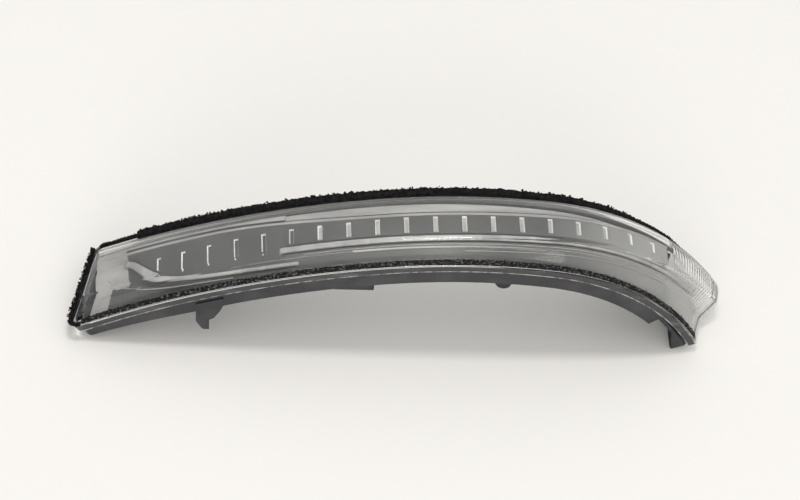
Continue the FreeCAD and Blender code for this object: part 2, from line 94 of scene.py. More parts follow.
def band(s, w, n, lean=0.0):
    """A place on the tipped arch; its left end is slanted, and leans where asked to."""
    x, z, slope = level_arch(s)
    x, z, slope = x - left_foot[0], z - left_foot[1], slope + tip
    x, z = x * math.cos(tip) - z * math.sin(tip), x * math.sin(tip) + z * math.cos(tip)
    fade = max(0.0, 1.0 - s / slant_reach)
    along = w * left_slant * fade ** 2 + n * lean * fade ** 4
    return Vector((x + along * math.cos(slope) - n * math.sin(slope), w,
                   z + along * math.sin(slope) + n * math.cos(slope)))


bezel_start = 8.0
flange_start = 1.7
flange_top = -1.7
band_shift = Vector((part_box("bezel")[0][0] / mm - band(bezel_start, flange_start, flange_top).x,
                     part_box("outer_lens")[0][1] / mm, 0.0))


def place(s, w, n, lean=0.0):
    """A place on the band in the part's frame, in metres."""
    return (band(s, w, n, lean) + band_shift) * mm


def spaced(start, end, step):
    """Even places from start to end, no further apart than the step."""
    count = max(1, int(math.ceil((end - start) / step)))
    return [start + (end - start) * i / count for i in range(count + 1)]


def rounded(corners, steps=4):
    """Points of an outline whose corners (w, n, size) are eased off by their size."""
    points = [Vector(corners[0][:2])]
    for before, here, after in zip(corners, corners[1:], corners[2:]):
        a, b, c = Vector(before[:2]), Vector(here[:2]), Vector(after[:2])
        start = b + (a - b).normalized() * min(here[2], 0.45 * (a - b).length)
        end = b + (c - b).normalized() * min(here[2], 0.45 * (c - b).length)
        for i in range(steps + 1):
            t = i / steps
            points.append(start * (1 - t) ** 2 + b * 2 * t * (1 - t) + end * t * t)
    points.append(Vector(corners[-1][:2]))
    return points


def rows_of(bm, rows):
    """Vertices for rows of places, and the quads between neighbouring rows."""
    grid = [[bm.verts.new(point) for point in row] for row in rows]
    quads = [[bm.faces.new((low[i], low[i + 1], high[i + 1], high[i])) for i in range(len(low) - 1)]
             for low, high in zip(grid, grid[1:])]
    return grid, quads


def close_shell(bm, outer, inner):
    """Joins two grids of the same size along all four sides."""
    for low, high, far_low, far_high in zip(outer, outer[1:], inner, inner[1:]):
        bm.faces.new((high[0], low[0], far_low[0], far_high[0]))
        bm.faces.new((low[-1], high[-1], far_high[-1], far_low[-1]))
    for row, far in ((outer[0], inner[0]), (outer[-1], inner[-1])):
        for i in range(len(row) - 1):
            bm.faces.new((row[i], row[i + 1], far[i + 1], far[i]))


def finished(bm, name, sharp=35.0):
    """Object of a mesh whose coincident points are joined."""
    bmesh.ops.remove_doubles(bm, verts=bm.verts, dist=0.0005 * mm)
    bmesh.ops.recalc_face_normals(bm, faces=bm.faces)
    mesh = bpy.data.meshes.new(name)
    bm.to_mesh(mesh)
    bm.free()
    mesh.shade_smooth()
    mesh.set_sharp_from_angle(angle=math.radians(sharp))
    made = bpy.data.objects.new(name, mesh)
    bpy.context.collection.objects.link(made)
    return made


def fit_out(made, surface, slot, *nodes):
    """The piece rides on the lamp, wears its surface and stands for its CAD nodes."""
    if made.data.materials:
        made.data.materials.clear()
    made.data.materials.append(surface)
    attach(made, "root")
    if nodes:
        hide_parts(*nodes)


class Shade:
    """A shader value. Sums and products of these make the nodes that work them out."""

    def __init__(self, tree, socket=None):
        self.tree = tree
        self.socket = socket

    def node(self, kind, inputs, settings=None, out=0):
        made = self.tree.nodes.new(kind)
        for name, value in (settings or {}).items():
            setattr(made, name, value)
        for key, value in inputs.items():
            if isinstance(value, Shade):
                self.tree.links.new(value.socket, made.inputs[key])
            else:
                made.inputs[key].default_value = value
        return Shade(self.tree, made.outputs[out])

    def math(self, operation, other=0.0):
        return self.node("ShaderNodeMath", {0: self, 1: other}, {"operation": operation})

    def __add__(self, other):
        return self.math("ADD", other)

    __radd__ = __add__

    def __mul__(self, other):
        return self.math("MULTIPLY", other)

    __rmul__ = __mul__

    def __sub__(self, other):
        return self.math("SUBTRACT", other)

    def __rsub__(self, other):
        return self * -1.0 + other

    def ramp(self, low, high, to_low=0.0, to_high=1.0):
        return self.node("ShaderNodeMapRange", {"Value": self, "From Min": low, "From Max": high,
                                                "To Min": to_low, "To Max": to_high})

    def noise(self, scale, detail=3.0):
        return self.node("ShaderNodeTexNoise", {"Vector": self, "Scale": scale, "Detail": detail})

    def stretched(self, x, y, z):
        return self.node("ShaderNodeMapping", {"Vector": self, "Scale": (x, y, z)})

    def blend(self, first, second):
        """Colour between two colours, by this value."""
        return self.node("ShaderNodeMix", {0: self, 6: first, 7: second}, {"data_type": "RGBA"}, 2)

    def bump(self, strength, distance):
        return self.node("ShaderNodeBump", {"Height": self, "Strength": strength, "Distance": distance})

    def feed(self, shader, name):
        self.tree.links.new(self.socket, shader.inputs[name])


def surface_of(name, **values):
    """New material, its shader and its object coordinates."""
    made = bpy.data.materials.new(name)
    made.use_nodes = True
    shader = made.node_tree.nodes["Principled BSDF"]
    for key, value in values.items():
        shader.inputs[key.replace("_", " ")].default_value = value
    start = Shade(made.node_tree)
    return made, shader, start.node("ShaderNodeTexCoord", {}, out=3)


# Tub: one dark blue-grey moulding with a fine grain, welded under the lens. It carries the snap
# tongue, the end foot, the screw bosses and the plug socket.
tub_dark = (0.020, 0.022, 0.026, 1.0)
tub_dusty = (0.060, 0.062, 0.066, 1.0)
tub_surface, shader, coords = surface_of("tub plastic", Roughness=0.42)
dust = coords.noise(55.0, 6.0).ramp(0.45, 0.75)
dust.blend(tub_dark, tub_dusty).feed(shader, "Base Color")
coords.noise(30.0).ramp(0.3, 0.7, 0.34, 0.55).feed(shader, "Roughness")
coords.noise(2600.0, 2.0).bump(0.25, 0.0001).feed(shader, "Normal")
fit_out(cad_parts["housing"], tub_surface, "tub_plastic")


# Dome of the clear lens: the crease, crest, crown and shoulder of the acrylic spread and rise towards
# the nose. The pieces below the lens are laid out from these edges too.
lens_wall = 1.8
skirt_height = 3.6
skirt_wall = 1.4
ledge_thickness = 1.6
ledge_front = 2.6
ledge_rear = 3.8
ledge_left = 3.4
dome_lean = 0.9
drift_length = 125.0
foot_drift = 2.0
dome_middle = ((5.0, 4.6), (7.8, 6.1), (22.2, 6.7), (29.6, 3.4))
dome_nose = ((10.0, 2.6), (15.5, 10.2), (21.5, 11.8), (26.0, 10.0))


def drift(s):
    """Share of the change towards the nose."""
    return max(0.0, 1.0 - (arch_length - s) / drift_length) ** 2


def dome_corners(s):
    """Crease, crest, crown and shoulder."""
    share = drift(s)
    return [(a[0] + (b[0] - a[0]) * share, a[1] + (b[1] - a[1]) * share)
            for a, b in zip(dome_middle, dome_nose)]


def dome_foot(s):
    """Rear edge of the dome on the ledge."""
    return band_width - ledge_rear - foot_drift * drift(s)


# Clear lens: one polished acrylic moulding with a crest and a crease along its front, fine flutes
# at the nose and a flat ledge all round for the foam. Its smoked skirt is welded to the tub; a band
# along the skirt's lower edge is painted pale as a highlight, and its end is milky.
flute_pitch = 1.45
flute_depth = 0.30
flute_count = 18
flute_end_margin = 4.0
flute_from = 0.3
nose_round = 1.8
nose_droop = 0.08
corner_front = 6.0
corner_rear = 2.6
edge_sizes = (0.7, 0.9, 3.5, 1.2)
facet_shares = (0.2, 0.5, 0.8)
facet_size = 0.02
highlight_band = 0.4
clear_band = 0.8
clear_band_inside = 0.5
smoked, edge_highlight, milky = 1, 2, 3


def corner_cut(s, reach):
    """How far a rounded left corner has drawn in the side of the lens at a place along it."""
    return reach * (1.0 - math.sqrt(1.0 - max(0.0, 1.0 - s / reach) ** 2))


def skirt_side(w, clear_from):
    """Corners up one side of the skirt, where the band painted pale as a highlight along its lower edge and
    the smoked part end.
    """
    return [(w, -skirt_height, 0.0), (w, highlight_band - skirt_height, 0.05), (w, clear_from, 0.05)]


def kept_between(corners, near, far, margin):
    """Corners of the dome held inside the sides that the rounded left corners draw in."""
    return [(min(max(w, near + margin + 0.01 * w), far - margin - 0.01 * (band_width - w)), n, size)
            for w, n, size in corners]


def lens_outer(s, raised):
    near = corner_cut(s, corner_front)
    far = band_width - corner_cut(s, corner_rear)
    corners = [(w, n * raised, size) for (w, n), size in zip(dome_corners(s), edge_sizes)]
    low, high = Vector(corners[0]), Vector(corners[1])
    corners[1:1] = [tuple(low.lerp(high, share)[:2]) + (facet_size,) for share in facet_shares]
    corners = [(ledge_front, 0.0, 0.3)] + corners + [(dome_foot(s), 0.0, 0.3)]
    corners = kept_between(corners, near, far, 0.6)
    return rounded(skirt_side(near, -clear_band) + [(near, 0.0, 0.35)] + corners
                   + [(far, 0.0, 0.35)] + skirt_side(far, -clear_band)[::-1])


def lens_inner(s, raised):
    t = lens_wall
    top = -ledge_thickness
    near = skirt_wall + corner_cut(s - skirt_wall, corner_front - skirt_wall)
    far = band_width - skirt_wall - corner_cut(s - skirt_wall, corner_rear - skirt_wall)
    (w1, n1), (w2, n2), (w3, n3), (w4, n4) = dome_corners(s)
    low, high = Vector((w1 + 0.72 * t, n1 - 0.75 * t)), Vector((w2 + 0.35 * t, n2 - t))
    facet = [(share, facet_size) for share in facet_shares]
    facet = [(0.0, edge_sizes[0])] + facet + [(1.0, edge_sizes[1])]
    corners = [tuple(low.lerp(high, share)) + (size,) for share, size in facet]
    corners += [(w3, n3 - t, edge_sizes[2]), (w4 - 0.65 * t, n4 - 0.8 * t, 1.0)]
    corners = [(w, top + (n - top) * raised, size) for w, n, size in corners]
    corners = [(ledge_front + 0.85 * t, top, 0.2)] + corners + [(dome_foot(s) - 0.8 * t, top, 0.2)]
    clear_from = top - clear_band_inside
    corners = kept_between(corners, near, far, 0.4)
    return rounded(skirt_side(near, clear_from) + [(near, top, 0.2)] + corners
                   + [(far, top, 0.2)] + skirt_side(far, clear_from)[::-1])


def flute_dip(s, w):
    """Depth of the grooves at a place on the lens."""
    start = arch_length - flute_end_margin - (flute_count - 0.5) * flute_pitch
    turn = (s - start) / flute_pitch
    if not 0.0 < turn < flute_count:
        return 0.0
    crease, crest, _, shoulder = [corner[0] for corner in dome_corners(s)]
    inside = max(ease(w, crease + 0.3, crease + 0.9) * (1 - ease(w, crest - 0.9, crest - 0.4)),
                 ease(w, crest + 0.4, crest + 0.9) * (1 - ease(w, shoulder - 0.8, shoulder)))
    return flute_depth * inside * (1.0 - abs(2.0 * (turn % 1.0) - 1.0))


flute_start = arch_length - flute_end_margin - flute_count * flute_pitch
lens_stations = [(s, 0.0) for s in (0.0, 0.25, 0.7, 1.3, 2.1, ledge_left)]
lens_stations += [(s, 1.0) for s in spaced(ledge_left, flute_start, 2.4)[:-1]]
flute_end = arch_length - flute_end_margin
lens_stations += [(s, 1.0) for s in spaced(flute_start, flute_end, flute_pitch / 8)[:-1]]
lens_stations += [(s, 1.0) for s in spaced(flute_end, arch_length, 0.4)]
bm = bmesh.new()
outer_rows, inner_rows = [], []
inner_scale = (arch_length - 2 * lens_wall - ledge_left) / (arch_length - ledge_left)
for s, raised in lens_stations:
    from_end = max(0.0, 1.0 - (arch_length - s) / nose_round)
    droop = 1.0 - nose_droop * (1.0 - math.sqrt(max(0.0, 1.0 - from_end ** 2)))
    row = []
    for p in lens_outer(s, raised):
        level = p.y * (droop if p.y > 0.0 else 1.0) - (flute_dip(s, p.x) if p.y > flute_from else 0.0)
        row.append(place(s, p.x, level, dome_lean if p.y > 0.0 else 0.0))
    outer_rows.append(row)
    deep = skirt_wall + s * (ledge_left + lens_wall - skirt_wall) / ledge_left
    if s > ledge_left:
        deep = ledge_left + lens_wall + (s - ledge_left) * inner_scale
    inner_rows.append([place(deep, p.x, p.y, dome_lean if p.y > 0.0 else 0.0)
                       for p in lens_inner(deep, raised)])
outer, quads = rows_of(bm, outer_rows)
inner, _ = rows_of(bm, inner_rows)
corner_faces = 5
skirt_faces = 2 * corner_faces
for (s, _), faces in zip(lens_stations, quads):
    for face in faces[:skirt_faces] + faces[-skirt_faces:]:
        face.material_index = smoked
    # The faces along the skirt's lower edge are painted pale as a highlight.
    for face in faces[:corner_faces] + faces[-corner_faces:]:
        face.material_index = edge_highlight
    if s > arch_length - nose_round:
        for face in faces[skirt_faces:-skirt_faces]:
            face.material_index = milky
for low, high, far_low, far_high in zip(outer, outer[1:], inner, inner[1:]):
    bm.faces.new((high[0], low[0], far_low[0], far_high[0]))
    bm.faces.new((low[-1], high[-1], far_high[-1], far_low[-1]))
for row, far, kind in ((outer[0], inner[0], smoked), (outer[-1], inner[-1], milky)):
    bm.faces.new(row).material_index = kind
    bm.faces.new(far).material_index = kind
    bm.faces.new((row[0], row[-1], far[-1], far[0]))
lens = finished(bm, "clear_lens_cover", 25.0)
acrylic_ior = 1.49
acrylic_clear = (0.95, 0.95, 0.94, 1.0)
lens_surface, shader, coords = surface_of("clear acrylic", Roughness=0.04, IOR=acrylic_ior,
                                          Transmission_Weight=1.0, Base_Color=acrylic_clear)
smear = coords.stretched(0.5, 1.0, 1.0).noise(90.0, 5.0)
smear.ramp(0.45, 0.8, 0.02, 0.16).feed(shader, "Roughness")
through = coords.node("ShaderNodeBsdfTransparent", {"Color": (0.94, 0.94, 0.93, 1.0)})
lamp_ray = coords.node("ShaderNodeLightPath", {}, out=1)
body = Shade(lens_surface.node_tree, shader.outputs[0])
mixed = coords.node("ShaderNodeMixShader", {0: lamp_ray, 1: body, 2: through})
mixed.feed(lens_surface.node_tree.nodes["Material Output"], "Surface")
fit_out(lens, lens_surface, "clear_lens", "outer_lens")
skirt_dark = (0.018, 0.019, 0.021, 1.0)
skirt_smear = (0.09, 0.09, 0.092, 1.0)
highlight_pale = (0.42, 0.42, 0.42, 1.0)
milky_white = (0.82, 0.82, 0.81, 1.0)
milky_dull = (0.66, 0.66, 0.65, 1.0)
skirt_surface, shader, coords = surface_of("smoked skirt", Roughness=0.2, Coat_Weight=0.3)
smear = coords.stretched(0.4, 1.0, 2.0).noise(130.0, 6.0).ramp(0.5, 0.75)
smear.blend(skirt_dark, skirt_smear).feed(shader, "Base Color")
coords.noise(220.0, 4.0).ramp(0.3, 0.7, 0.1, 0.35).feed(shader, "Roughness")
lens.data.materials.append(skirt_surface)
# Painted highlight along the skirt's lower edge, broken up by noise.
edge_highlight_surface, shader, coords = surface_of("painted edge highlight", Roughness=0.3)
broken = coords.stretched(1.0, 1.0, 0.2).noise(420.0, 4.0).ramp(0.4, 0.6)
broken.blend(skirt_smear, highlight_pale).feed(shader, "Base Color")
lens.data.materials.append(edge_highlight_surface)
milky_surface, shader, coords = surface_of("milky end", Roughness=0.35, Transmission_Weight=0.4,
                                           IOR=acrylic_ior)
coords.noise(260.0, 4.0).ramp(0.35, 0.65).blend(milky_dull, milky_white).feed(shader, "Base Color")
lens.data.materials.append(milky_surface)


# Long light guide: a clear bar with a frosted white underside that runs below the crest from its
# rounded left end to the nose, with a leg down to its diode on the board.
guide_dull = (0.24, 0.24, 0.238, 1.0)
guide_pale = (0.38, 0.38, 0.377, 1.0)
guide_radius = 1.0
guide_across = 11.9
guide_drift = 5.2
guide_level = 0.6
guide_rise = 3.1
guide_leg_at = 81.5
guide_end_gap = 9.0
guide_lead = 3.0
leg_foot = -4.0


def guide_line(s):
    """Middle of the long bar, across the band and above the ledge."""
    return guide_across + guide_drift * drift(s), guide_level + guide_rise * drift(s)


def ring(sides):
    """Places round a circle of radius 1."""
    turns = [2 * math.pi * i / sides for i in range(sides)]
    return [(math.cos(turn), math.sin(turn)) for turn in turns]


def bar(bm, line_at, radius, start, end, spread_at=lambda s: 0.0, sides=16):
    """Round bar along the band with rounded ends, spread towards the front where it is wider."""
    cap = [(radius * (1 - math.cos(a)), math.sin(a)) for a in (0.15, 0.6, 1.1)]
    stations = [(start + inward, share) for inward, share in cap]
    stations += [(s, 1.0) for s in spaced(start + radius, end - radius, 2.0)]
    stations += [(end - inward, share) for inward, share in reversed(cap)]
    rows = []
    for s, share in stations:
        w, n = line_at(s)
        half = radius + spread_at(s)
        rows.append([place(s, w - spread_at(s) + half * share * x, n + radius * share * y)
                     for x, y in ring(sides)])
    grid = [[bm.verts.new(point) for point in row] for row in rows]
    for low, high in zip(grid, grid[1:]):
        for i in range(sides):
            bm.faces.new((low[i], low[(i + 1) % sides], high[(i + 1) % sides], high[i]))
    bm.faces.new(grid[0])
    bm.faces.new(list(reversed(grid[-1])))


def leg(bm, line_at, at, radius, foot, lead=0.0, sides=16):
    """Leg from the bar down to the diode; its top may stand further along than its foot."""
    w, n = line_at(at)
    rows = [[place(s + radius * x, w + radius * y, level) for x, y in ring(sides)]
            for s, level in ((at + lead, n), (at, foot))]
    grid = [[bm.verts.new(point) for point in row] for row in rows]
    for i in range(sides):
        bm.faces.new((grid[0][i], grid[0][(i + 1) % sides], grid[1][(i + 1) % sides], grid[1][i]))
    for row in grid:
        bm.faces.new(row)


guide_surface, shader, coords = surface_of("frosted guide", Roughness=0.18, Coat_Weight=0.5)
frost = coords.stretched(1.0, 0.4, 1.0).noise(120.0, 4.0).ramp(0.35, 0.65)
frost.blend(guide_dull, guide_pale).feed(shader, "Base Color")
coords.noise(260.0, 2.0).ramp(0.3, 0.8, 0.12, 0.35).feed(shader, "Roughness")
coords.stretched(1.0, 0.2, 1.0).noise(900.0, 1.0).bump(0.12, 0.0001).feed(shader, "Normal")
bm = bmesh.new()
bar(bm, guide_line, 0.9 * guide_radius, guide_leg_at + guide_lead - guide_radius,
    arch_length - guide_end_gap + guide_lead)
leg(bm, guide_line, guide_leg_at, 0.85 * guide_radius, leg_foot, guide_lead)
long_guide = finished(bm, "long_light_guide")
fit_out(long_guide, guide_surface, "guide_plastic", "light_guide_long")


# Short light guide: the same clear bar along the front of the notched field at the left, from the
# pointed end of the field to its own leg. It is wider near the point, with a fine rib in front.
tip_at = 22.0
tip_curve = 14.0
guide_edge_low = 5.0
guide_edge_rise = 15.2
seat_level = -1.2
short_across = 1.2
seat_gap = 0.06
wedge_width = 1.5
wedge_reach = 9.0
short_guide_end = 89.5
rib_front = 5.0
rib_swing = 12.4
rib_start = 12.0
rib_bend = 16.0
rib_lift = 0.1
rib_radius = 0.2


def guide_edge(s):
    """Front edge of the notched field, which swings back to the point at the left."""
    u = max(0.0, s - tip_at) / tip_curve
    return guide_edge_low + guide_edge_rise * (1.0 + u * u) ** -1.2


def short_line(s):
    return guide_edge(s) + short_across, seat_level + seat_gap + 0.9 * guide_radius


def short_spread(s):
    """The guide widens to a wedge around the point of the field."""
    return wedge_width * math.exp(-((s - tip_at - wedge_reach) / wedge_reach) ** 2)


def rib_line(s):
    """Fine rib in front of the wedge, down to the front edge."""
    return rib_front + rib_swing * math.exp(-(s - rib_start) / rib_bend), seat_level + rib_lift


bm = bmesh.new()
bar(bm, short_line, 0.72 * guide_radius, tip_at - 1.5, short_guide_end + guide_radius, short_spread)
leg(bm, short_line, short_guide_end, 0.7 * guide_radius, leg_foot)
bar(bm, rib_line, rib_radius, tip_at - 9.0, tip_at + 44.0)
short_guide = finished(bm, "short_light_guide")
fit_out(short_guide, guide_surface, "guide_plastic", "light_guide_short")


# Bezel: a satin grey moulding clamped between lens and tub. Its notched field has a row of small
# pockets, whose walls and most floors are painted pale as highlights; at the left it ends in a point,
# with a sunk corner below the short guide. The land behind the field and the left end are paler. The
# rim's crest is painted pale as a highlight, and the seam behind it and the slope by the rear foam as
# shade.
bezel_thickness = 0.94
bezel_reach = 2.2
bezel_joint = 86.0
joint_gap = 0.02
bezel_end_gap = 26.5
slope_foot = 3.6
groove_gap = 0.15
groove_side = 1.7
corner_sink = 2.2
field_level = 0.95
field_rear = 21.7
field_left_gain = 2.6
field_gain_from, field_gain_to = 60.0, 120.0
field_drift = 6.05
field_lift = 4.4
rim_rise = 0.95
notch_count = 19
notch_first = 36.2
notch_pitch = 10.37
notch_width = 1.7
notch_length = 7.4
notch_shrink = 2.6
notch_depth = 0.7
notch_back = 4.0
notch_back_gain = 4.2
notch_row_end = 140.0
notch_drift = 3.3
notch_wall = 0.34
thin_notches = 6
pale_end = 13.5
rim_from, rim_to, seam_to = 0.1, 0.62, 1.5
rear_slope = 3.2
# bright faces are pocket walls painted as highlights; pale faces are the paler land and left end, and the
# rim's crest and pocket floors painted as highlights; shaded faces are painted shade.
bright, pale, shaded = 1, 2, 3


def field_edge(s):
    """Rear edge of the notched field."""
    gain = field_left_gain * (1.0 - ease(s, field_gain_from, field_gain_to))
    return field_rear + gain + field_drift * drift(s)


def notch_row(s):
    """Middle of the notches across the band."""
    back = notch_back + notch_back_gain * (1.0 - ease(s, notch_first, notch_row_end))
    return field_edge(s) - back + notch_drift * drift(s)


def left_bezel(s):
    """Corners (w, n, size) before and behind the field, with the seat of the short guide."""
    edge = guide_edge(s)
    rear = max(field_edge(s), edge + 3.6)
    toe = max(4.4, edge - 0.28 * (edge - guide_edge_low) - 1.1)
    sunk = flange_top - corner_sink * ease(edge, 5.5, 9.0)
    foot = dome_foot(s)
    front = [(flange_start, flange_top, 0.0), (3.4, flange_top, 0.2), (3.9, sunk, 0.2), (toe, sunk, 0.3),
             (edge, seat_level, 0.25), (edge + 2.2, seat_level, 0.15), (edge + 2.6, seat_level + 0.4, 0.2)]
    back = [(rear, field_level, 0.2), (rear + 0.7, field_level + rim_rise, 0.2), (rear + 1.6, 1.78, 0.1),
            (foot - 3.3, 1.2, 0.4), (foot - 2.5, flange_top, 0.2),
            (band_width - flange_start, flange_top, 0.0)]
    return front, back


def right_bezel(s):
    """Corners before and behind the field, with the groove of the long guide."""
    groove, bottom = guide_line(s)
    bottom -= guide_radius + groove_gap
    rear = field_edge(s)
    lift = field_lift * drift(s)
    foot = dome_foot(s)
    front = [(flange_start, flange_top, 0.0), (slope_foot, flange_top, 0.2),
             (groove - groove_side, bottom + 1.2, 0.25), (groove - 1.2, bottom, 0.15),
             (groove + 1.2, bottom, 0.15), (groove + 1.8, field_level - 0.1 + lift, 0.25)]
    back = [(rear, field_level + lift, 0.2), (rear + 0.5, field_level + rim_rise + lift, 0.2),
            (rear + 1.6, field_level + 0.3 + 0.75 * lift, 0.1),
            (min(rear + 2.2, foot - 3.6), field_level - 0.1 + 0.6 * lift, 0.3),
            (foot - 3.3, field_level - 0.3 + 0.5 * lift, 0.2), (foot - 2.5, flange_top, 0.2),
            (band_width - flange_start, flange_top, 0.0)]
    return front, back


def bezel_points(s, outline_at):
    """Top points of the bezel, with two more across the field where the notches begin and end."""
    front, back = outline_at(s)
    points = rounded(front + back, 3)
    corner = 1 + 4 * (len(front) - 1)
    low, high = points[corner - 1], points[corner]
    row = notch_row(s)
    half = (notch_length - notch_shrink * drift(s)) / 2
    share = [(row + side * half - low.x) / (high.x - low.x) for side in (-1, 1)]
    share = [min(0.96, max(0.04, value)) for value in share]
    if share[1] - share[0] < 0.02:
        share = [0.33, 0.66]
    return points[:corner] + [low.lerp(high, value) for value in share] + points[corner:], corner


notch_places = [notch_first + notch_pitch * i for i in range(notch_count)]


def bezel_length(bm, outline_at, start, end):
    """A closed length of the bezel with its surfaces marked, and the faces of its notches."""
    stations = spaced(start, end, 1.6)
    stations = [s for s in stations if all(abs(s - at) > notch_width / 2 + 0.3 for at in notch_places)]
    stations += [at + side * notch_width / 2 for at in notch_places for side in (-1, 1)
                 if start < at + side * notch_width / 2 < end]
    stations.sort()
    top, under, across = [], [], []
    for s in stations:
        points, corner = bezel_points(s, outline_at)
        across.append([p.x for p in points])
        top.append([place(s, p.x, p.y) for p in points])
        under.append([place(s, p.x, p.y - bezel_thickness) for p in points])
    upper, quads = rows_of(bm, top)
    lower, _ = rows_of(bm, under)
    close_shell(bm, upper, lower)
    for s, row, faces in zip(stations, across, quads):
        rim = outline_at(s)[1][0][0]
        for w, after, face in zip(row, row[1:], faces):
            middle = (w + after) / 2
            if s < pale_end or (s < tip_at - 1.0 and middle > rib_line(s)[0] - 0.5):
                face.material_index = pale
            # The crest of the raised rim is painted pale as a highlight.
            elif rim + rim_from < middle < rim + rim_to:
                face.material_index = pale
            # The strip behind the rim is painted as shade, and the rear slope beside the foam as the foam's
            # shade.
            elif rim + rim_to < middle < rim + seam_to or middle > dome_foot(s) - rear_slope:
                face.material_index = shaded
            elif middle > rim + seam_to:
                face.material_index = pale
    pockets = []
    for i, s in enumerate(stations[:-1]):
        middle = (s + stations[i + 1]) / 2
        if any(abs(middle - at) < 0.3 for at in notch_places):
            pockets.append(quads[i][corner])
    return pockets


bm = bmesh.new()
pockets = bezel_length(bm, left_bezel, bezel_start - bezel_reach, bezel_joint - joint_gap)
pockets += bezel_length(bm, right_bezel, bezel_joint, arch_length - bezel_end_gap)
bmesh.ops.recalc_face_normals(bm, faces=bm.faces)
# The new walls of the pockets are painted bright as highlights, and the floors of all but the first few
# pale, so each notch reads as a lit bar.
before = set(bm.faces)
bmesh.ops.inset_individual(bm, faces=pockets, thickness=notch_wall * mm, depth=-notch_depth * mm)
for face in bm.faces:
    if face not in before:
        face.material_index = bright
for face in pockets[thin_notches:]:
    face.material_index = pale
bezel = finished(bm, "notched_bezel", 30.0)
bezel_grey = (0.056, 0.058, 0.058, 1.0)
bezel_pale = (0.081, 0.083, 0.083, 1.0)
notch_highlight_bright = (0.88, 0.88, 0.87, 1.0)
notch_highlight_dull = (0.66, 0.66, 0.65, 1.0)
nose_grey = (0.46, 0.46, 0.455, 1.0)
bezel_surface, shader, coords = surface_of("satin bezel", Roughness=0.4, Specular_IOR_Level=0.3)
towards_nose = coords.node("ShaderNodeSeparateXYZ", {0: coords}).ramp(0.050, 0.115)
plain_grey = coords.noise(40.0, 4.0).ramp(0.35, 0.65).blend(bezel_grey, bezel_pale)
towards_nose.blend(plain_grey, nose_grey).feed(shader, "Base Color")
coords.noise(3200.0, 2.0).bump(0.1, 0.00005).feed(shader, "Normal")
fit_out(bezel, bezel_surface, "bezel_plastic", "bezel")
# Painted highlight on the pocket walls, broken up by noise.
notch_highlight_surface, shader, coords = surface_of("painted highlight on notch walls", Roughness=0.3)
coords.noise(300.0, 3.0).ramp(0.35, 0.65).blend(notch_highlight_dull, notch_highlight_bright).feed(shader, "Base Color")
bezel.data.materials.append(notch_highlight_surface)
land_pale = (0.38, 0.38, 0.375, 1.0)
land_dull = (0.28, 0.28, 0.275, 1.0)
painted_shade_dark = (0.012, 0.012, 0.0125, 1.0)
painted_shade_grey = (0.028, 0.028, 0.029, 1.0)
# Pale land; the same colour is painted on the rim's crest and in the pockets as highlights.
land_and_highlight_surface, shader, coords = surface_of("pale land and painted highlight", Roughness=0.4, Specular_IOR_Level=0.3)
streaks = coords.stretched(0.3, 1.0, 1.0).noise(160.0, 3.0).ramp(0.35, 0.65)
streaks.blend(land_dull, land_pale).feed(shader, "Base Color")
bezel.data.materials.append(land_and_highlight_surface)
# Painted shade behind the rim and on the rear slope beside the foam.
painted_shade_surface, shader, coords = surface_of("painted shade", Roughness=0.5, Specular_IOR_Level=0.2)
streaks = coords.stretched(0.3, 1.0, 1.0).noise(160.0, 3.0).ramp(0.35, 0.65)
streaks.blend(painted_shade_dark, painted_shade_grey).feed(shader, "Base Color")
bezel.data.materials.append(painted_shade_surface)


crease_lines = ((2.5, 92.0), (3.5, 110.0), (4.8, 150.0))
crease_radius = 0.13
crease_lift = 0.1


def slope_line(inset):
    """A line along the front slope of the bezel, so far in front of the long guide."""
    def at(s):
        groove, level = guide_line(s)
        share = (groove - inset - slope_foot) / (groove - groove_side - slope_foot)
        return groove - inset, flange_top + share * (level + 0.05 - flange_top) + crease_lift
    return at


bm = bmesh.new()
for inset, start in crease_lines:
    bar(bm, slope_line(inset), crease_radius, start, arch_length - bezel_end_gap - 0.5, sides=8)
ribs = finished(bm, "bezel_crease_ribs")
fit_out(ribs, land_and_highlight_surface, "bezel_plastic")


# Reflector behind the fluted nose: a bright satin moulding on the same flange as the bezel, clamped by
# the lens. Its front slope carries on the bezel's grey.
nose_bright = (0.52, 0.52, 0.515, 1.0)
nose_dull = (0.42, 0.42, 0.415, 1.0)
nose_gap = 0.06
groove_half = 1.4


def nose_top(s):
    """Top of the reflector, a little below the dome."""
    (w1, n1), _, (w3, n3), (w4, n4) = dome_corners(s)
    groove, bottom = guide_line(s)
    bottom -= guide_radius + groove_gap
    return rounded([(flange_start, flange_top, 0.0), (4.2, flange_top, 0.3), (w1 + 2.6, n1 - 3.2, 0.6),
                    (groove - groove_half, bottom, 0.4), (groove + groove_half, bottom, 0.4),
                    (w3, n3 - 3.6, 1.5), (w4 - 2.6, n4 - 3.6, 0.8), (dome_foot(s) - 3.0, flange_top, 0.3),
                    (band_width - flange_start, flange_top, 0.0)])


bm = bmesh.new()
stations = spaced(arch_length - bezel_end_gap + nose_gap, arch_length - lens_wall - 1.0, 1.2)
upper, quads = rows_of(bm, [[place(s, p.x, p.y) for p in nose_top(s)] for s in stations])
lower, _ = rows_of(bm, [[place(s, p.x, p.y - bezel_thickness) for p in nose_top(s)] for s in stations])
close_shell(bm, upper, lower)
for s, faces in zip(stations, quads):
    for point, face in zip(nose_top(s), faces):
        if point.x < guide_line(s)[0] - 1.5:
            face.material_index = 1
reflector = finished(bm, "nose_reflector")
reflector_surface, shader, coords = surface_of("bright satin", Roughness=0.3)
coords.noise(120.0).ramp(0.3, 0.7).blend(nose_dull, nose_bright).feed(shader, "Base Color")
coords.noise(2400.0, 2.0).bump(0.08, 0.00005).feed(shader, "Normal")
fit_out(reflector, reflector_surface, "reflector_plastic", "end_reflector")
reflector.data.materials.append(bezel_surface)


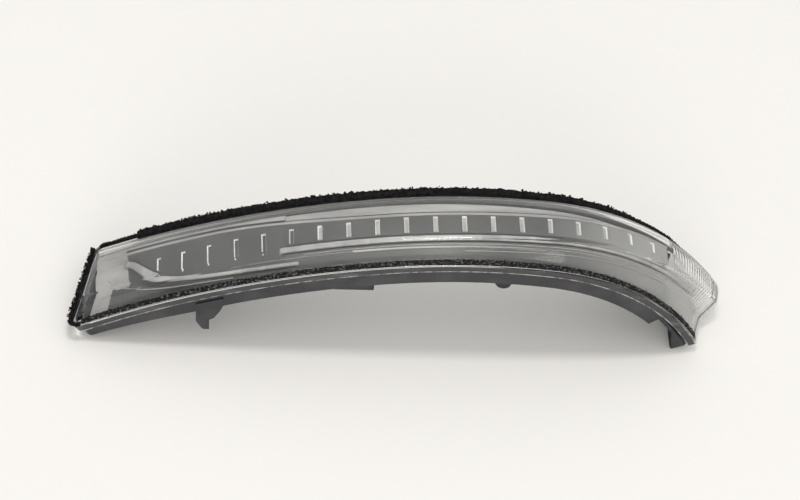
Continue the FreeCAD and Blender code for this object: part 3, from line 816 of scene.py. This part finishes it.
# Foam strips: black open-cell foam glued to the lens ledge. The rear and left strips are torn along
# their outer edges; of the front strip only a thin ragged skin and its adhesive are left.
foam_black = (0.006, 0.006, 0.0065, 1.0)
foam_grey = (0.022, 0.022, 0.022, 1.0)
foam_height = 2.2
foam_seed = 7
foam_edge = band_width - 0.1
rear_from, rear_to = 25.0, arch_length - 14.5
thick_end = 34.0
foam_surface, shader, coords = surface_of("black foam", Roughness=0.95, Specular_IOR_Level=0.15)
coords.noise(700.0, 4.0).ramp(0.4, 0.75).blend(foam_black, foam_grey).feed(shader, "Base Color")
coords.noise(1500.0, 4.0).bump(0.9, 0.0004).feed(shader, "Normal")


def torn(bm, at, length, w_from, w_to, height, step, rough):
    """Strip of foam along a line of the band, with a rough skin."""
    skin_points = 12
    grain_scale = 1.9
    rows = []
    for u in spaced(0.0, length, step):
        row = []
        for i in range(skin_points + 1):
            t = i / skin_points
            turn = math.pi * t
            across = w_from + (w_to - w_from) * (0.5 - 0.5 * math.cos(turn))
            up = height * min(1.0, 1.6 * math.sin(turn)) if 0 < i < skin_points else 0.06
            spot = Vector((u * grain_scale, across * grain_scale, up * grain_scale))
            grain = noise.noise_vector(spot) * rough
            if 0 < i < skin_points:
                across += grain.x * (0.5 + t)
                up = max(0.1, up + grain.y)
            row.append(at(u + (grain.z if 0 < u < length else 0.0), across, up))
        rows.append(row)
    grid, _ = rows_of(bm, rows)
    for low, high in zip(grid, grid[1:]):
        bm.faces.new((low[-1], low[0], high[0], high[-1]))
    bm.faces.new(grid[0])
    bm.faces.new(grid[-1])


def crumbs(bm, count, spot, size):
    """Loose torn bits along an edge."""
    for _ in range(count):
        centre = spot()
        bit = bmesh.ops.create_icosphere(bm, subdivisions=1, radius=1.0)["verts"]
        stretch = [random.uniform(0.4, 1.0) * size * mm for _ in range(3)]
        for vert in bit:
            grain = 1.0 + 0.5 * noise.noise(vert.co * 2.3 + centre * 900.0)
            vert.co = Vector([c * k * grain for c, k in zip(vert.co, stretch)]) + centre


def strip_from(start):
    """Places along the band from a start."""
    return lambda u, w, n: place(start + u, w, n)


def thick_strip(u, w, n):
    """Places on the last of the rear strip, which stands higher towards its end."""
    return place(rear_to - thick_end + u, w, n * (1.0 + 0.75 * ease(u, 4.0, 30.0)))


random.seed(foam_seed)
noise.seed_set(foam_seed)
bm = bmesh.new()
torn(bm, strip_from(rear_from), rear_to - rear_from, band_width - ledge_rear + 0.4, foam_edge,
     foam_height + 0.4, 0.5, 0.6)
torn(bm, strip_from(ledge_left), rear_from - ledge_left + 0.5, band_width - 1.2, foam_edge,
     0.8, 0.45, 0.35)
torn(bm, thick_strip, thick_end, band_width - ledge_rear + 1.2, foam_edge, foam_height - 0.1, 0.5, 0.5)
crumbs(bm, 700, lambda: place(random.uniform(rear_from, rear_to), band_width - random.uniform(-0.05, 0.9),
                              random.uniform(0.6, foam_height + 0.4)), 0.55)
crumbs(bm, 60, lambda: place(random.uniform(ledge_left, rear_from), band_width - random.uniform(-0.05, 0.7),
                             random.uniform(0.3, 0.8)), 0.45)
rear_foam = finished(bm, "rear_foam", 60.0)
fit_out(rear_foam, foam_surface, "foam", "foam_strip_rear")

end_inset = 1.6


def end_strip(u, w, n):
    """Place on the strip round the front corner and along the left end."""
    turn = (corner_front - end_inset) * math.pi / 2
    reach = corner_front - end_inset + (end_inset - w)
    if u < turn:
        a = math.pi / 2 * u / turn
        return place(corner_front - reach * math.sin(a), corner_front - reach * math.cos(a), n)
    return place(corner_front - reach, corner_front + u - turn, n)


end_length = (corner_front - end_inset) * math.pi / 2 + band_width - corner_front - 1.2
bm = bmesh.new()
torn(bm, end_strip, end_length, -0.3, 0.9, foam_height - 0.9, 0.45, 0.5)
crumbs(bm, 240, lambda: end_strip(random.uniform(0.5, end_length), random.uniform(-0.7, 0.3),
                                  random.uniform(0.4, foam_height - 0.4)), 0.5)
end_foam = finished(bm, "end_foam", 60.0)
fit_out(end_foam, foam_surface, "foam", "foam_strip_end")

residue_white = (0.20, 0.20, 0.195, 1.0)
residue_surface, shader, coords = surface_of("foam residue", Roughness=0.8, Specular_IOR_Level=0.25)
flecks = coords.noise(1200.0, 4.0).ramp(0.52, 0.72)
flecks.blend(foam_black, residue_white).feed(shader, "Base Color")
coords.noise(1700.0, 4.0).bump(0.8, 0.0003).feed(shader, "Normal")
front_from, front_to = corner_front, arch_length - 3.0
bm = bmesh.new()
torn(bm, strip_from(front_from), front_to - front_from, 0.3, ledge_front + 0.1, 0.55, 0.45, 0.32)
crumbs(bm, 520, lambda: place(random.uniform(front_from, front_to), random.uniform(0.3, ledge_front + 0.2),
                              random.uniform(0.2, 0.7)), 0.32)
front_foam = finished(bm, "front_foam_skin", 60.0)
fit_out(front_foam, residue_surface, "foam", "foam_strip_front")


# Circuit board inside the tub: green laminate with copper runs under the solder mask, screwed to two
# posts. It carries the diodes under the legs of the guides.
mask_green = (0.010, 0.060, 0.025, 1.0)
mask_copper = (0.022, 0.105, 0.045, 1.0)
board_surface, shader, coords = surface_of("solder mask", Roughness=0.3, Coat_Weight=0.3)
runs = coords.node("ShaderNodeTexVoronoi", {"Vector": coords.stretched(1.0, 2.5, 1.0), "Scale": 260.0},
                   {"distance": "CHEBYCHEV"})
runs.ramp(0.28, 0.34).blend(mask_copper, mask_green).feed(shader, "Base Color")
runs.ramp(0.28, 0.34).bump(0.2, 0.00005).feed(shader, "Normal")
fit_out(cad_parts["circuit_board"], board_surface, "board_laminate")


# Parts on the board: pale diodes' cases, black chip cases, dark resistors and tan capacitors, all
# soldered, with tinned pins into the plug socket, zinc screws and a pale vent membrane on the tub.
small_parts = (
    ("led_case", (0.70, 0.66, 0.52), 0.35, 0.0, ("led_long", "led_short")),
    ("chip_case", (0.012, 0.012, 0.013), 0.5, 0.0, ("driver_chip", "diode")),
    ("resistor_body", (0.02, 0.02, 0.024), 0.3, 0.0, ("resistors",)),
    ("capacitor_body", (0.28, 0.19, 0.11), 0.4, 0.0, ("capacitors",)),
    ("pin_metal", (0.66, 0.62, 0.52), 0.25, 1.0, ("contact_pins",)),
    ("screw_steel", (0.55, 0.56, 0.57), 0.3, 1.0, ("board_screw_left", "board_screw_right")),
    ("vent_fabric", (0.62, 0.62, 0.60), 0.9, 0.0, ("vent_patch",)),
)
for slot_name, colour, rough, metal, nodes in small_parts:
    part_surface, shader, coords = surface_of(slot_name.replace("_", " "), Metallic=metal)
    dark = tuple(0.75 * c for c in colour) + (1.0,)
    coords.noise(500.0, 3.0).ramp(0.35, 0.65).blend(dark, colour + (1.0,)).feed(shader, "Base Color")
    coords.noise(350.0).ramp(0.3, 0.7, rough - 0.08, rough + 0.1).feed(shader, "Roughness")
    coords.noise(4000.0, 2.0).bump(0.1, 0.00003).feed(shader, "Normal")
    for node in nodes:
        fit_out(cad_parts[node], part_surface, slot_name)


# Floor: a plain pale table that fills the view, matt and slightly uneven in tone. The lamp stands on it
# by its two ends.
floor_pale = (0.90, 0.885, 0.855, 1.0)
floor_half = 3.0
bm = bmesh.new()
bmesh.ops.create_grid(bm, x_segments=2, y_segments=2, size=floor_half)
floor = finished(bm, "table")
floor_surface, shader, coords = surface_of("pale table", Roughness=0.6, Specular_IOR_Level=0.2)
floor_dull = tuple(0.985 * c for c in floor_pale[:3]) + (1.0,)
coords.noise(6.0, 4.0).ramp(0.3, 0.7).blend(floor_dull, floor_pale).feed(shader, "Base Color")
floor.data.materials.append(floor_surface)


# Light: a bright even room, one soft lamp overhead, a little behind the part, and a wide weak
# window in front that lifts the shade under the arch.
world = bpy.data.worlds.new("room")
bpy.context.scene.world = world
world.use_nodes = True
room = Shade(world.node_tree)
height = room.node("ShaderNodeSeparateXYZ", {0: room.node("ShaderNodeTexCoord", {})}, out=2)
height.ramp(-0.1, 0.9).blend((0.50, 0.50, 0.50, 1.0), (1.0, 1.0, 1.0, 1.0)).feed(
    world.node_tree.nodes["Background"], "Color")
world.node_tree.nodes["Background"].inputs["Strength"].default_value = 0.82
lamp = bpy.data.lights.new("overhead", "AREA")
lamp.shape = "RECTANGLE"
lamp.size, lamp.size_y = 0.30, 0.14
lamp.energy = 3.9
lamp.color = (1.0, 0.98, 0.95)
overhead = bpy.data.objects.new("overhead", lamp)
overhead.location = (0.0, 0.095, 1.2)
bpy.context.collection.objects.link(overhead)
window = bpy.data.lights.new("window", "AREA")
window.shape = "RECTANGLE"
window.size, window.size_y = 1.2, 0.5
window.energy = 5.5
window.color = (1.0, 0.97, 0.92)
front_light = bpy.data.objects.new("window", window)
front_light.location = (0.0, -1.3, 0.5)
front_light.rotation_euler = (math.radians(69.0), 0.0, 0.0)
front_light.visible_glossy = False
bpy.context.collection.objects.link(front_light)


# Camera: above the front of the lamp, turned and rolled a little as in the photo, with a long lens that
# takes in the whole arch.
camera_at = Vector((-0.0709, -0.5307, 0.7023))
camera_down = math.radians(51.288)
camera_turn = math.radians(7.429)
camera_roll = math.radians(7.095)
camera_lens = 106.06
level = math.cos(camera_down)
ahead = Vector((math.sin(camera_turn) * level, math.cos(camera_turn) * level, -math.sin(camera_down)))
right = ahead.cross(Vector((0.0, 0.0, 1.0))).normalized()
up = right.cross(ahead)
right, up = (right * math.cos(camera_roll) + up * math.sin(camera_roll),
             up * math.cos(camera_roll) - right * math.sin(camera_roll))
camera = bpy.data.objects.new("camera", bpy.data.cameras.new("camera"))
camera.matrix_world = Matrix.Translation(camera_at) @ Matrix((right, up, -ahead)).transposed().to_4x4()
camera.data.lens = camera_lens
camera.data.sensor_width = 36.0
camera.data.clip_start = 0.01
bpy.context.collection.objects.link(camera)
bpy.context.scene.camera = camera
bpy.context.scene.view_settings.view_transform = "Standard"
